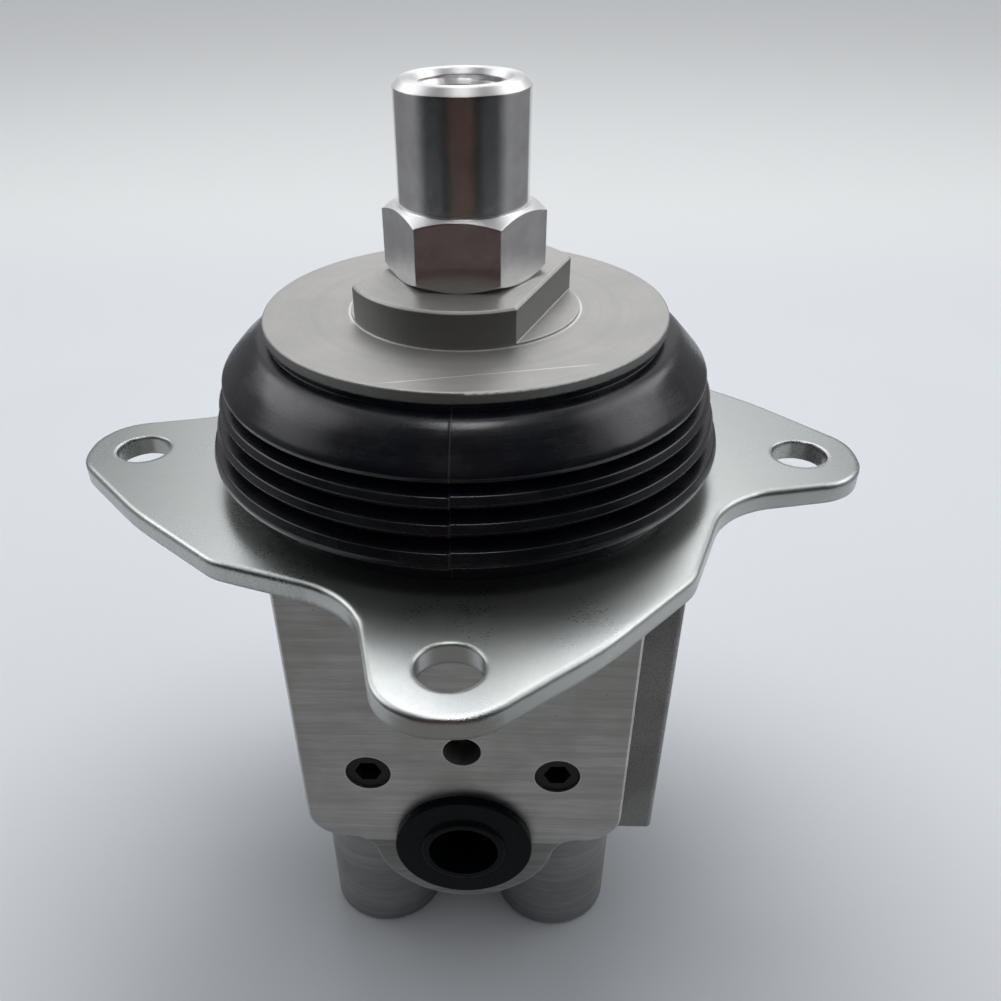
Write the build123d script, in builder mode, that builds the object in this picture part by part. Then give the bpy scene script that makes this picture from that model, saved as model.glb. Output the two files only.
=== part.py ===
"""Hydraulic pilot joystick valve: four pressure reducing spools under a tilting disc.

Frame: millimetres, +Z up, origin on the valve axis at the bottom of the four work port bosses.
The front, with the pressure port, faces -Y, and the tank port faces +X.
A universal joint carries the disc. Its two axes lie along the diagonals, over the plungers.
"""
import os
from math import acos, cos, degrees, radians, sin, sqrt, tan

from build123d import *

# ---- clearances ----
RUN_CLEAR = 0.05              # radial, a shaft that moves in its hole
FIT_CLEAR = 0.1               # radial, a piece that is put in and stays
FACE_GAP = 0.3                # between faces on different bodies that come close
OVERRUN = 1.0                 # how far a cut or a hole runs past what it has to clear

# ---- valve body ----
BODY_W = 54.4                 # along X
BODY_D = 70.0                 # along Y
BODY_H = 54.8                 # block, from its underside to the plate
BODY_CORNER_R = 6.5           # lower long edges
BODY_EDGE = 0.4               # broken edges of the two milled faces
BOSS_LEN = 35.5               # below the block
BOSS_AT = 17.0                # boss and spool axes at (+-BOSS_AT, +-BOSS_AT)
BOSS_R = 11.0
BOSS_EDGE = 0.5
PAD_T = 6.1                   # as-cast pad on the +X side
PAD_SETBACK = 3.5             # from the milled faces
PAD_DROP = 0.2                # its lower end over the block's underside
PAD_EDGE_R = 1.0
LOBE_R = 16.1                 # port lobe under the block
LOBE_DROP = 0.5               # its axis below the block's underside
LOBE_FILLET = 5.0             # where it runs out into the underside

# ---- ports, galleries and their plugs ----
INLET_R = 7.6                 # tapping size of a three-eighths inch parallel pipe thread
INLET_DEPTH = 14.0
WORK_R = 5.9                  # tapping size of a quarter inch parallel pipe thread
WORK_DEPTH = 14.0
PORT_CHAMFER = 0.6
GALLERY_R = 3.2
TANK_GALLERY_X = 15.8         # two tank galleries run along Y at +-this
TANK_RISE = 16.6              # tank galleries over the block's underside
SCREW_PLUG_R = 3.7            # socket set screws that close the galleries
SCREW_PLUG_LEN = 7.0
SCREW_PLUG_KEY = 4.0          # across flats
SCREW_PLUG_SINK = 0.4         # below the milled face
SIDE_PLUG_SINK = 1.0          # below the round side of a boss
BLIND_R = 3.15                # small blind hole over the pressure port
BLIND_RISE = 22.0             # over the block's underside
BLIND_DEPTH = 13.0
DRILL_POINT = 118.0           # degrees

CAP_FLANGE_R = 12.0           # shipping plugs in the two inlet ports
CAP_FLANGE_T = 1.9
CAP_EDGE = 0.3
CAP_STEM_LEN = 11.0
CAP_HOLE_R = 6.1
CAP_HOLE_DEPTH = 10.0
CAP_LIP_R = 7.4               # rounded lip round the pull hole
CAP_LIP_H = 0.7
CAP_LIP_EDGE = 0.5

# ---- mounting plate ----
PLATE_T = 3.2
PLATE_EDGE_R = 0.7
HOLE_AT = 55.2                # ear holes from the axis
HOLE_R = 4.5
EAR_TIP = 64.6
EAR_R = 9.4
PLATE_CORNER = (33.2, -35.6)  # one ear's outline, turned by 90 degrees for the others
CORNER_R = 9.0
EAR_NECK = (40.9, -13.9)
NECK_R = 14.0
EAR_LOW_Y = -8.6
EAR_HIGH_Y = 4.2
EAR_FLANK = (51.2, 19.6)
FLANK_R = 60.0

# ---- universal joint ----
AXIS_A = 45.0                 # heading of the lower joint axis, the upper one is square to it
TILT = 19.0                   # degrees each way about each axis
PIVOT_H = 8.0                 # pivot over the plate
PIN_R = 2.5
EYE_R = 4.8                   # fork ears round the pins
FORK_IN = 5.5                 # inner faces of the forks from the pivot
FORK_T = 3.0
SPIDER_HALF = 5.2
SPIDER_HALF_H = 3.9
PIN_STICKOUT = 0.3
SPIDER_EDGE = 0.8
FLOOR_DROP = 7.6              # floor of the lower fork under the pivot
JOINT_FLANGE_R = 12.0
JOINT_FLATS = 21.0
JOINT_STUD_R = 5.9
JOINT_STUD_LEN = 16.0
YOKE_HUB_R = 9.5
YOKE_HUB_H = 3.6

# ---- tilt disc ----
DISC_FACE = 12.0              # working face over the pivot
HUB_R = 28.6                  # inside the boot's bead
HUB_H = 3.0
HUB_GROOVE = 1.0              # bead groove, depth, width and place over the working face
HUB_GROOVE_W = 1.4
HUB_GROOVE_H = 1.0
RIM_R = 30.7
RIM_T = 1.8
RIM_EDGE = 0.35
PLATFORM_R = 17.3             # the boss with two flats
PLATFORM_H = 5.4
PLATFORM_FLATS = 25.4
PLATFORM_TURN = -20.6
PLATFORM_FOOT = 0.4
PLATFORM_EDGE = 0.35

# ---- coupling nut ----
NUT_FLATS = 20.6
NUT_TURN = -2.75
NUT_HEX_H = 9.6
NUT_BARREL_R = 9.4
NUT_BARREL_H = 15.7
NUT_BARREL_EDGE = 0.95
NUT_CORNER_ANGLE = 30.0
NUT_FACE_CUT = 0.15           # the turned corners reach this far inside the flats
STUD_R = 5.05
STUD_EDGE = 0.8
STUD_SPARE = 2.0              # thread left over the stud
HANDLE_R = 6.2                # wall of the M14 x 1.5 handle thread
HANDLE_DEPTH = 13.5
HANDLE_CHAMFER = 0.7

# ---- plungers, guides and seals ----
PLUNGER_R = 4.0
PLUNGER_TIP_R = 6.0
PLUNGER_BORE_R = 1.9
GUIDE_R = 7.9
GUIDE_LEN = 14.0              # below the plate
GUIDE_NECK_R = 6.3
GUIDE_TOP = 4.6               # over the plate
SEAL_R = 5.3
SEAL_H = 2.4
SEAL_RISE = 0.9               # seal groove's lower face over the plate
SEAL_LIP = 0.6
ORING_T = 1.4
ORING_GROOVE_H = 1.82
ORING_RISE = 8.0              # O-ring groove over the guide's lower end

# ---- springs and spools ----
CHAMBER_R = 7.2
CHAMBER_RISE = 14.0           # chamber's bottom over the block's underside
SEAT_R = 6.6
SEAT_T = 2.0
SEAT_SPIGOT_H = 1.2
SEAT_SPARE = 0.6              # room left over the seat when its plunger is fully up
STEM_R = 1.5
SPOOL_R = 3.5
SPOOL_NECK_R = 2.5
SPOOL_NECK_LEN = 8.0
SPOOL_CORE_R = 1.5
SPOOL_PORT_R = 0.8
SPOOL_HEAD_R = 4.7
SPOOL_HEAD_T = 1.5
SPOOL_STROKE = 0.8            # at full tilt
SPOOL_END = 2.0               # its lower end over the work port
RETURN_WIRE = 1.3
RETURN_R = 5.85               # coil, to the middle of the wire
RETURN_TURNS = 4.0
METER_WIRE = 0.9
METER_R = 3.4
METER_TURNS = 4.0

# ---- guide retainer and its screws ----
RETAINER_R = 33.6
RETAINER_T = 3.2
RETAINER_EDGE = 0.4
FOOT_GROOVE = 1.6             # for the boot's foot: depth, height and lower face
FOOT_GROOVE_H = 1.8
FOOT_GROOVE_RISE = 0.6
SCREW_AT = 21.5
SCREW_R = 2.45
SCREW_HEAD_R = 4.4
SCREW_HEAD_H = 1.4
SCREW_LEN = 18.0
SCREW_KEY = 3.0
SCREW_KEY_DEPTH = 0.9

# ---- boot: folds counted from the plate up ----
BOOT_T = 1.5
BOOT_FOOT_R = 37.4
BOOT_FOOT_H = 2.6
BOOT_LIP_R = (41.0, 39.8, 38.9, 38.1)
BOOT_LIP_H = (6.3, 10.6, 14.1, 17.3)
BOOT_VALLEY_R = (35.6, 35.4, 34.9, 34.4)
BOOT_VALLEY_H = (4.3, 8.5, 12.4, 15.8)
BOOT_LIP_T = 2.3              # wall at a lip, along the radius
BOOT_LIP_EDGE = 0.45         # round of each lip
BOOT_NECK_OVER = 0.7          # neck's height over the working face
BOOT_BEAD_T = 1.4

# ---- places worked out from the sizes above ----
BLOCK_Z = BOSS_LEN
BODY_Z = BLOCK_Z + BODY_H
PLATE_Z = BODY_Z + PLATE_T
PIVOT_Z = PLATE_Z + PIVOT_H
FACE_Z = PIVOT_Z + DISC_FACE
RIM_Z = FACE_Z + HUB_H
DISC_Z = RIM_Z + RIM_T
NUT_Z = DISC_Z + PLATFORM_H
BARREL_Z = NUT_Z + NUT_HEX_H
TOP_Z = BARREL_Z + NUT_BARREL_H
INLET_Z = BLOCK_Z - LOBE_DROP
TANK_Z = BLOCK_Z + TANK_RISE
CHAMBER_Z = BLOCK_Z + CHAMBER_RISE
GUIDE_Z = BODY_Z - GUIDE_LEN
RETAINER_Z = PLATE_Z + RETAINER_T
FRONT_Y = -BODY_D / 2
PAD_X = BODY_W / 2 + PAD_T
FORK_OUT = FORK_IN + FORK_T
PLUNGER_AT = BOSS_AT * sqrt(2)
STROKE = PLUNGER_AT * tan(radians(TILT))
TIP_Z = FACE_Z - FACE_GAP
SEAT_Z = GUIDE_Z - SEAT_SPARE - STROKE
SPOOL_SHOULDER_Z = CHAMBER_Z + SPOOL_STROKE + FACE_GAP + SPOOL_HEAD_T
SPOOL_Z = WORK_DEPTH + SPOOL_END
STEM_Z = SEAT_Z + STROKE
BORE_DEPTH = 2 * STROKE + OVERRUN
shoulder_share = min(1, 0.98 * (BODY_W / 2 - LOBE_R) / (BODY_CORNER_R + LOBE_FILLET))
SIDE_PLUG_DEPTH = BOSS_R - SPOOL_R - 4 * FIT_CLEAR
AXIS_B = AXIS_A - 90.0

# plunger 1 and 2 answer to the lower joint axis, 3 and 4 to the upper one
STATIONS = ((1, -1), (-1, 1), (1, 1), (-1, -1))
PLACES = [(BOSS_AT * x, BOSS_AT * y) for x, y in STATIONS]


def across(heading, distance, height):
    """A plane square to a level heading in degrees: its x level, its y up."""
    away = Vector(cos(radians(heading)), sin(radians(heading)), 0)
    return Plane(origin=away * distance + Vector(0, 0, height),
                 x_dir=(-away.Y, away.X, 0), z_dir=away)


def drill(radius, depth):
    """A blind hole that goes down from the present places, with a drill point past its depth."""
    point = radius / tan(radians(DRILL_POINT / 2))
    with Locations((0, 0, -depth / 2)):
        Cylinder(radius, depth, mode=Mode.SUBTRACT)
    with Locations((0, 0, -depth - point / 2)):
        Cone(radius, 0.0, point, rotation=(180, 0, 0), mode=Mode.SUBTRACT)


def countersink(radius, size):
    """A chamfer of one size on a hole's mouth at the present places."""
    with Locations((0, 0, -size / 2)):
        Cone(radius, radius + size, size, mode=Mode.SUBTRACT)


def save(piece, name):
    """Label a finished piece and write it."""
    piece.part.label = name
    export_step(piece.part, f"parts/{name}.step")


os.makedirs("parts", exist_ok=True)

# ---- valve body: one profile along Y, four bosses, a cast pad, ports and galleries ----
with BuildPart() as valve_body:
    with BuildSketch(Plane.XZ) as profile:
        with Locations((0, BLOCK_Z + BODY_H / 2)):
            Rectangle(BODY_W, BODY_H)
        fillet(profile.vertices().group_by(Axis.Y)[0], BODY_CORNER_R * shoulder_share)
        with Locations((0, INLET_Z)):
            Circle(LOBE_R)
        roots = [v for v in profile.vertices()
                 if abs(v.Y - BLOCK_Z) < 0.01 and abs(v.X) < LOBE_R + 0.01]
        fillet(roots, LOBE_FILLET * shoulder_share)
    extrude(amount=BODY_D / 2, both=True)
    milled = valve_body.faces().filter_by(Axis.Y)
    chamfer(milled.edges(), BODY_EDGE)
    with BuildSketch(Plane.XY.offset(BLOCK_Z + PAD_DROP)) as pad:
        with Locations((PAD_X / 2, 0)):
            Rectangle(PAD_X, BODY_D - 2 * PAD_SETBACK)
        fillet(pad.vertices().group_by(Axis.X)[-1], PAD_EDGE_R)
    extrude(amount=BODY_H - PAD_DROP)
    with BuildSketch() as bosses:
        with Locations(*PLACES):
            Circle(BOSS_R)
    extrude(amount=BLOCK_Z + BODY_CORNER_R)
    rims = valve_body.edges().filter_by(GeomType.CIRCLE).group_by(Axis.Z)[0]
    chamfer(rims, BOSS_EDGE)
    # spool bores: work port at the bottom, spring chamber and guide bore above
    with Locations(*[Location((x, y, 0), (180, 0, 0)) for x, y in PLACES]):
        drill(WORK_R, WORK_DEPTH)
        countersink(WORK_R, PORT_CHAMFER)
    with BuildSketch() as spool_bores:
        with Locations(*PLACES):
            Circle(SPOOL_R + RUN_CLEAR)
    extrude(amount=BODY_Z, mode=Mode.SUBTRACT)
    with BuildSketch(Plane.XY.offset(CHAMBER_Z)) as chambers:
        with Locations(*PLACES):
            Circle(CHAMBER_R)
    extrude(amount=BODY_H, mode=Mode.SUBTRACT)
    with BuildSketch(Plane.XY.offset(GUIDE_Z)) as guide_bores:
        with Locations(*PLACES):
            Circle(GUIDE_R + FIT_CLEAR)
    extrude(amount=BODY_H, mode=Mode.SUBTRACT)
    # tapped holes in the top face for the joint's stud and the retainer's screws
    with Locations((0, 0, BODY_Z)):
        drill(JOINT_STUD_R + FIT_CLEAR, JOINT_STUD_LEN + OVERRUN)
    with Locations(Plane.XY.offset(BODY_Z)):
        with PolarLocations(SCREW_AT, 4):
            drill(SCREW_R + FIT_CLEAR, SCREW_LEN - RETAINER_T - PLATE_T + OVERRUN)
    # pressure port in front, its long gallery and the two that cross it
    with Locations(Plane.XZ.offset(-FRONT_Y)):
        with Locations((0, INLET_Z, 0)):
            drill(INLET_R, INLET_DEPTH)
            countersink(INLET_R, PORT_CHAMFER)
            drill(GALLERY_R, BODY_D / 2 + BOSS_AT)
        with Locations((-TANK_GALLERY_X, TANK_Z, 0), (TANK_GALLERY_X, TANK_Z, 0)):
            drill(GALLERY_R, BODY_D / 2 + BOSS_AT)
            drill(SCREW_PLUG_R + FIT_CLEAR, SCREW_PLUG_LEN + SCREW_PLUG_SINK)
        with Locations((0, BLOCK_Z + BLIND_RISE, 0)):
            drill(BLIND_R, BLIND_DEPTH)
    left = Plane(origin=(-BOSS_AT - BOSS_R, 0, INLET_Z), x_dir=(0, -1, 0), z_dir=(-1, 0, 0))
    with Locations(left):
        with Locations((-BOSS_AT, 0, 0), (BOSS_AT, 0, 0)):
            drill(GALLERY_R, 2 * BOSS_AT + BOSS_R)
            Cylinder(SCREW_PLUG_R + FIT_CLEAR, 2 * SIDE_PLUG_DEPTH, mode=Mode.SUBTRACT)
    # tank port in the pad, its gallery joins the two long ones
    with Locations(Plane(origin=(PAD_X, 0, TANK_Z), x_dir=(0, 1, 0), z_dir=(1, 0, 0))):
        drill(INLET_R, INLET_DEPTH)
        countersink(INLET_R, PORT_CHAMFER)
        drill(GALLERY_R, PAD_X + TANK_GALLERY_X)
save(valve_body, "valve_body")

# ---- mounting plate: four equal ears round the boot, one outline turned four times ----
with BuildPart() as mounting_plate:
    with BuildSketch(Plane.XY.offset(BODY_Z)) as outline:
        ear = [PLATE_CORNER, EAR_NECK, (EAR_TIP, EAR_LOW_Y), (EAR_TIP, EAR_HIGH_Y), EAR_FLANK]
        turned = [Vector(*p).rotate(Axis.Z, 90 * n) for n in range(4) for p in ear]
        with BuildLine():
            Polyline(*turned, close=True)
        make_face()
        for radius, corners in (
            (CORNER_R, [0]), (NECK_R, [1]), (EAR_R, [2, 3]), (FLANK_R, [4]),
        ):
            spots = [turned[i] for i in range(len(turned)) if i % len(ear) in corners]
            near = [outline.vertices().sort_by_distance(Vector(s.X, s.Y, BODY_Z))[0] for s in spots]
            fillet(near, radius)
    extrude(amount=PLATE_T)
    top = mounting_plate.faces().sort_by(Axis.Z)[-1]
    fillet(top.edges(), PLATE_EDGE_R)
    with BuildSketch(Plane.XY.offset(BODY_Z)) as cutouts:
        Circle(JOINT_FLANGE_R + FACE_GAP)
        with PolarLocations(HOLE_AT, 4):
            Circle(HOLE_R)
        with PolarLocations(SCREW_AT, 4):
            Circle(SCREW_R + FIT_CLEAR)
        with Locations(*PLACES):
            Circle(GUIDE_NECK_R + FIT_CLEAR)
    extrude(amount=PLATE_T, mode=Mode.SUBTRACT)
save(mounting_plate, "mounting_plate")

# ---- guide retainer: round plate that holds the guides down and the boot's foot out ----
with BuildPart() as guide_retainer:
    with Locations((0, 0, PLATE_Z)):
        Cylinder(RETAINER_R, RETAINER_T, align=(Align.CENTER, Align.CENTER, Align.MIN))
    chamfer(guide_retainer.edges().group_by(Axis.Z)[-1], RETAINER_EDGE)
    with BuildSketch(Plane.XY.offset(PLATE_Z + FOOT_GROOVE_RISE)) as groove:
        Circle(RETAINER_R + OVERRUN)
        Circle(RETAINER_R - FOOT_GROOVE, mode=Mode.SUBTRACT)
    extrude(amount=FOOT_GROOVE_H, mode=Mode.SUBTRACT)
    with BuildSketch(Plane.XY.offset(PLATE_Z)) as openings:
        Circle(JOINT_FLANGE_R + FACE_GAP)
        with PolarLocations(SCREW_AT, 4):
            Circle(SCREW_R + FIT_CLEAR)
        with Locations(*PLACES):
            Circle(GUIDE_NECK_R + FIT_CLEAR)
    extrude(amount=RETAINER_T, mode=Mode.SUBTRACT)
save(guide_retainer, "guide_retainer")

with BuildPart() as retainer_screws:
    with BuildSketch(Plane.XY.offset(RETAINER_Z)) as heads:
        with PolarLocations(SCREW_AT, 4):
            Circle(SCREW_HEAD_R)
    extrude(amount=SCREW_HEAD_H)
    chamfer(retainer_screws.edges().group_by(Axis.Z)[-1], SCREW_HEAD_H / 3)
    with BuildSketch(Plane.XY.offset(RETAINER_Z)) as shanks:
        with PolarLocations(SCREW_AT, 4):
            Circle(SCREW_R)
    extrude(amount=-SCREW_LEN)
    with BuildSketch(Plane.XY.offset(RETAINER_Z + SCREW_HEAD_H)) as sockets:
        with PolarLocations(SCREW_AT, 4):
            RegularPolygon(SCREW_KEY / 2, 6, major_radius=False)
    extrude(amount=-SCREW_KEY_DEPTH, mode=Mode.SUBTRACT)
save(retainer_screws, "retainer_screws")

# ---- universal joint: stud and lower fork, cross, upper fork and stud ----
with BuildPart() as joint_base:
    with Locations((0, 0, BODY_Z)):
        Cylinder(JOINT_STUD_R, JOINT_STUD_LEN, align=(Align.CENTER, Align.CENTER, Align.MAX))
    chamfer(joint_base.edges().group_by(Axis.Z)[0], STUD_EDGE)
    with BuildSketch(Plane.XY.offset(BODY_Z)) as flange:
        Circle(JOINT_FLANGE_R)
        Rectangle(3 * JOINT_FLANGE_R, JOINT_FLATS, rotation=AXIS_A, mode=Mode.INTERSECT)
    extrude(amount=PIVOT_Z - FLOOR_DROP - BODY_Z)
    for side in (0, 180):
        with BuildSketch(across(AXIS_A + side, FORK_IN, PIVOT_Z)) as ear_profile:
            Circle(EYE_R)
            with Locations((0, -FLOOR_DROP / 2)):
                Rectangle(2 * EYE_R, FLOOR_DROP)
            Circle(PIN_R + RUN_CLEAR, mode=Mode.SUBTRACT)
        extrude(amount=FORK_T)
save(joint_base, "joint_base")

with BuildPart() as joint_spider:
    with Locations((0, 0, PIVOT_Z)):
        Box(2 * SPIDER_HALF, 2 * SPIDER_HALF, 2 * SPIDER_HALF_H, rotation=(0, 0, AXIS_A))
    chamfer(joint_spider.edges().filter_by(Axis.Z), SPIDER_EDGE)
    for heading in (AXIS_A, AXIS_A + 180, AXIS_B, AXIS_B + 180):
        with BuildSketch(across(heading, 0, PIVOT_Z)) as pin:
            Circle(PIN_R)
        extrude(amount=FORK_OUT + PIN_STICKOUT)
save(joint_spider, "joint_spider")

with BuildPart() as joint_yoke:
    with Locations((0, 0, FACE_Z)):
        Cylinder(YOKE_HUB_R, YOKE_HUB_H, align=(Align.CENTER, Align.CENTER, Align.MAX))
    for side in (0, 180):
        with BuildSketch(across(AXIS_B + side, FORK_IN, PIVOT_Z)) as ear_profile:
            Circle(EYE_R)
            with Locations((0, (DISC_FACE - YOKE_HUB_H) / 2)):
                Rectangle(2 * EYE_R, DISC_FACE - YOKE_HUB_H)
            Circle(PIN_R + RUN_CLEAR, mode=Mode.SUBTRACT)
        extrude(amount=FORK_T)
    with Locations((0, 0, FACE_Z)):
        Cylinder(STUD_R, TOP_Z - HANDLE_DEPTH - STUD_SPARE - FACE_Z,
                 align=(Align.CENTER, Align.CENTER, Align.MIN))
    chamfer(joint_yoke.edges().group_by(Axis.Z)[-1], STUD_EDGE)
save(joint_yoke, "joint_yoke")

# ---- tilt disc: turned in one piece, with a spanner platform ----
with BuildPart() as tilt_disc:
    with BuildSketch(Plane.XY.offset(FACE_Z)) as hub:
        Circle(HUB_R)
    extrude(amount=HUB_H)
    with BuildSketch(Plane.XY.offset(FACE_Z + HUB_GROOVE_H)) as bead_groove:
        Circle(HUB_R + OVERRUN)
        Circle(HUB_R - HUB_GROOVE, mode=Mode.SUBTRACT)
    extrude(amount=HUB_GROOVE_W, mode=Mode.SUBTRACT)
    with BuildSketch(Plane.XY.offset(RIM_Z)) as rim:
        Circle(RIM_R)
    extrude(amount=RIM_T)
    round_edges = tilt_disc.edges().filter_by(GeomType.CIRCLE)
    rim_edges = round_edges.filter_by(lambda e: e.radius > (HUB_R + RIM_R) / 2)
    fillet(rim_edges, RIM_EDGE)
    with BuildSketch(Plane.XY.offset(DISC_Z)) as foot:
        Circle(PLATFORM_R)
    extrude(amount=PLATFORM_FOOT)
    with BuildSketch(Plane.XY.offset(DISC_Z + PLATFORM_FOOT)) as platform:
        Circle(PLATFORM_R)
        Rectangle(PLATFORM_FLATS, 3 * PLATFORM_R, rotation=PLATFORM_TURN, mode=Mode.INTERSECT)
    extrude(amount=PLATFORM_H - PLATFORM_FOOT)
    chamfer(tilt_disc.edges().group_by(Axis.Z)[-1], PLATFORM_EDGE)
    with BuildSketch(Plane.XY.offset(FACE_Z)) as stud_hole:
        Circle(STUD_R + FIT_CLEAR)
    extrude(amount=NUT_Z - FACE_Z, mode=Mode.SUBTRACT)
save(tilt_disc, "tilt_disc")

# ---- coupling nut: hexagon with turned corners, round barrel, stepped bore ----
with BuildPart() as coupling_nut:
    with BuildSketch(Plane.XY.offset(NUT_Z)) as hexagon:
        RegularPolygon(NUT_FLATS / 2, 6, major_radius=False, rotation=NUT_TURN)
    extrude(amount=NUT_HEX_H)
    corner_r = NUT_FLATS / sqrt(3)
    corner_drop = (corner_r - NUT_FLATS / 2 + NUT_FACE_CUT) * tan(radians(NUT_CORNER_ANGLE))
    with BuildSketch(Plane.XZ) as turned_corners:
        with BuildLine():
            Polyline((0, NUT_Z), (NUT_FLATS / 2 - NUT_FACE_CUT, NUT_Z), (corner_r, NUT_Z + corner_drop),
                     (corner_r, BARREL_Z - corner_drop), (NUT_FLATS / 2 - NUT_FACE_CUT, BARREL_Z),
                     (0, BARREL_Z), close=True)
        make_face()
    revolve(axis=Axis.Z, mode=Mode.INTERSECT)
    with Locations((0, 0, BARREL_Z)):
        Cylinder(NUT_BARREL_R, NUT_BARREL_H, align=(Align.CENTER, Align.CENTER, Align.MIN))
    chamfer(coupling_nut.edges().group_by(Axis.Z)[-1], NUT_BARREL_EDGE)
    with BuildSketch(Plane.XY.offset(NUT_Z)) as stud_bore:
        Circle(STUD_R + RUN_CLEAR)
    extrude(amount=TOP_Z - HANDLE_DEPTH - NUT_Z, mode=Mode.SUBTRACT)
    with BuildSketch(Plane.XY.offset(TOP_Z)) as handle_bore:
        Circle(HANDLE_R)
    extrude(amount=-HANDLE_DEPTH, mode=Mode.SUBTRACT)
    with Locations((0, 0, TOP_Z)):
        countersink(HANDLE_R, HANDLE_CHAMFER)
save(coupling_nut, "coupling_nut")

# ---- boot: a thin bellows, turned from one closed section ----
with BuildPart() as boot:
    groove_r = RETAINER_R - FOOT_GROOVE + FIT_CLEAR
    groove_low = FOOT_GROOVE_RISE + FIT_CLEAR
    groove_high = FOOT_GROOVE_RISE + FOOT_GROOVE_H - FIT_CLEAR
    foot_in = RETAINER_R + FIT_CLEAR
    bead_in = HUB_R + FIT_CLEAR
    face = PIVOT_H + DISC_FACE
    tongue_low = face + HUB_GROOVE_H + FIT_CLEAR
    tongue_high = face + HUB_GROOVE_H + HUB_GROOVE_W - FIT_CLEAR
    bead_top = face + HUB_H - FACE_GAP
    outer = [(foot_in, 0), (BOOT_FOOT_R, 0), (BOOT_FOOT_R, BOOT_FOOT_H)]
    inner = []
    for lip_r, lip_h, valley_r, valley_h in zip(BOOT_LIP_R, BOOT_LIP_H, BOOT_VALLEY_R, BOOT_VALLEY_H):
        outer += [(valley_r, valley_h), (lip_r, lip_h)]
        inner += [(valley_r - BOOT_T, valley_h), (lip_r - BOOT_LIP_T, lip_h)]
    outer += [(bead_in + BOOT_BEAD_T, face + BOOT_NECK_OVER), (bead_in + BOOT_BEAD_T, bead_top)]
    bead = [(bead_in, bead_top), (bead_in, tongue_high), (bead_in - HUB_GROOVE, tongue_high),
            (bead_in - HUB_GROOVE, tongue_low), (bead_in, tongue_low), (bead_in, face - BOOT_NECK_OVER)]
    tongue = [(inner[0][0], groove_high), (groove_r, groove_high), (groove_r, groove_low),
              (foot_in, groove_low)]
    with BuildSketch(Plane.XZ) as section:
        with BuildLine():
            Polyline(*[(r, PLATE_Z + h) for r, h in outer + bead + inner[::-1] + tongue], close=True)
        make_face()
        lips = [(r, PLATE_Z + h, 0) for r, h in zip(BOOT_LIP_R, BOOT_LIP_H)]
        fillet([section.vertices().sort_by_distance(lip)[0] for lip in lips], BOOT_LIP_EDGE)
    revolve(axis=Axis.Z)
save(boot, "boot")

# ---- guides, rod seals and O-rings, four of each ----
with BuildPart() as plunger_guides:
    with BuildSketch(Plane.XY.offset(GUIDE_Z)) as barrels:
        with Locations(*PLACES):
            Circle(GUIDE_R)
    extrude(amount=GUIDE_LEN)
    with BuildSketch(Plane.XY.offset(BODY_Z)) as necks:
        with Locations(*PLACES):
            Circle(GUIDE_NECK_R)
    extrude(amount=PLATE_T + GUIDE_TOP)
    chamfer(plunger_guides.edges().group_by(Axis.Z)[-1], BODY_EDGE)
    with BuildSketch(Plane.XY.offset(GUIDE_Z)) as rod_bores:
        with Locations(*PLACES):
            Circle(PLUNGER_R + RUN_CLEAR)
    extrude(amount=GUIDE_LEN + PLATE_T + GUIDE_TOP, mode=Mode.SUBTRACT)
    with BuildSketch(Plane.XY.offset(PLATE_Z + SEAL_RISE)) as seal_grooves:
        with Locations(*PLACES):
            Circle(SEAL_R + FIT_CLEAR)
    extrude(amount=SEAL_H + FIT_CLEAR, mode=Mode.SUBTRACT)
    with BuildSketch(Plane.XY.offset(GUIDE_Z + ORING_RISE)) as ring_grooves:
        with Locations(*PLACES):
            Circle(GUIDE_R + OVERRUN)
            Circle(GUIDE_R - ORING_T, mode=Mode.SUBTRACT)
    extrude(amount=ORING_GROOVE_H, mode=Mode.SUBTRACT)
save(plunger_guides, "plunger_guides")

with BuildPart() as rod_seals:
    with BuildSketch(Plane.XZ) as lip_section:
        with BuildLine():
            Polyline((PLUNGER_R + RUN_CLEAR, SEAL_H), (PLUNGER_R + SEAL_LIP, SEAL_H / 2),
                     (PLUNGER_R + RUN_CLEAR, 0), (SEAL_R, 0), (SEAL_R, SEAL_H), close=True)
        make_face()
    ring = revolve(axis=Axis.Z, mode=Mode.PRIVATE)
    with Locations(*[(x, y, PLATE_Z + SEAL_RISE) for x, y in PLACES]):
        add(ring)
save(rod_seals, "rod_seals")

with BuildPart() as guide_orings:
    middle_r = GUIDE_R + FIT_CLEAR - ORING_T / 2
    with BuildSketch(Plane.XZ) as cord_section:
        with Locations((middle_r, 0)):
            RegularPolygon(ORING_T / 2 - RUN_CLEAR, 8, rotation=22.5)
    ring = revolve(axis=Axis.Z, mode=Mode.PRIVATE)
    with Locations(*[(x, y, GUIDE_Z + ORING_RISE + ORING_GROOVE_H / 2) for x, y in PLACES]):
        add(ring)
save(guide_orings, "guide_orings")

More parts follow.
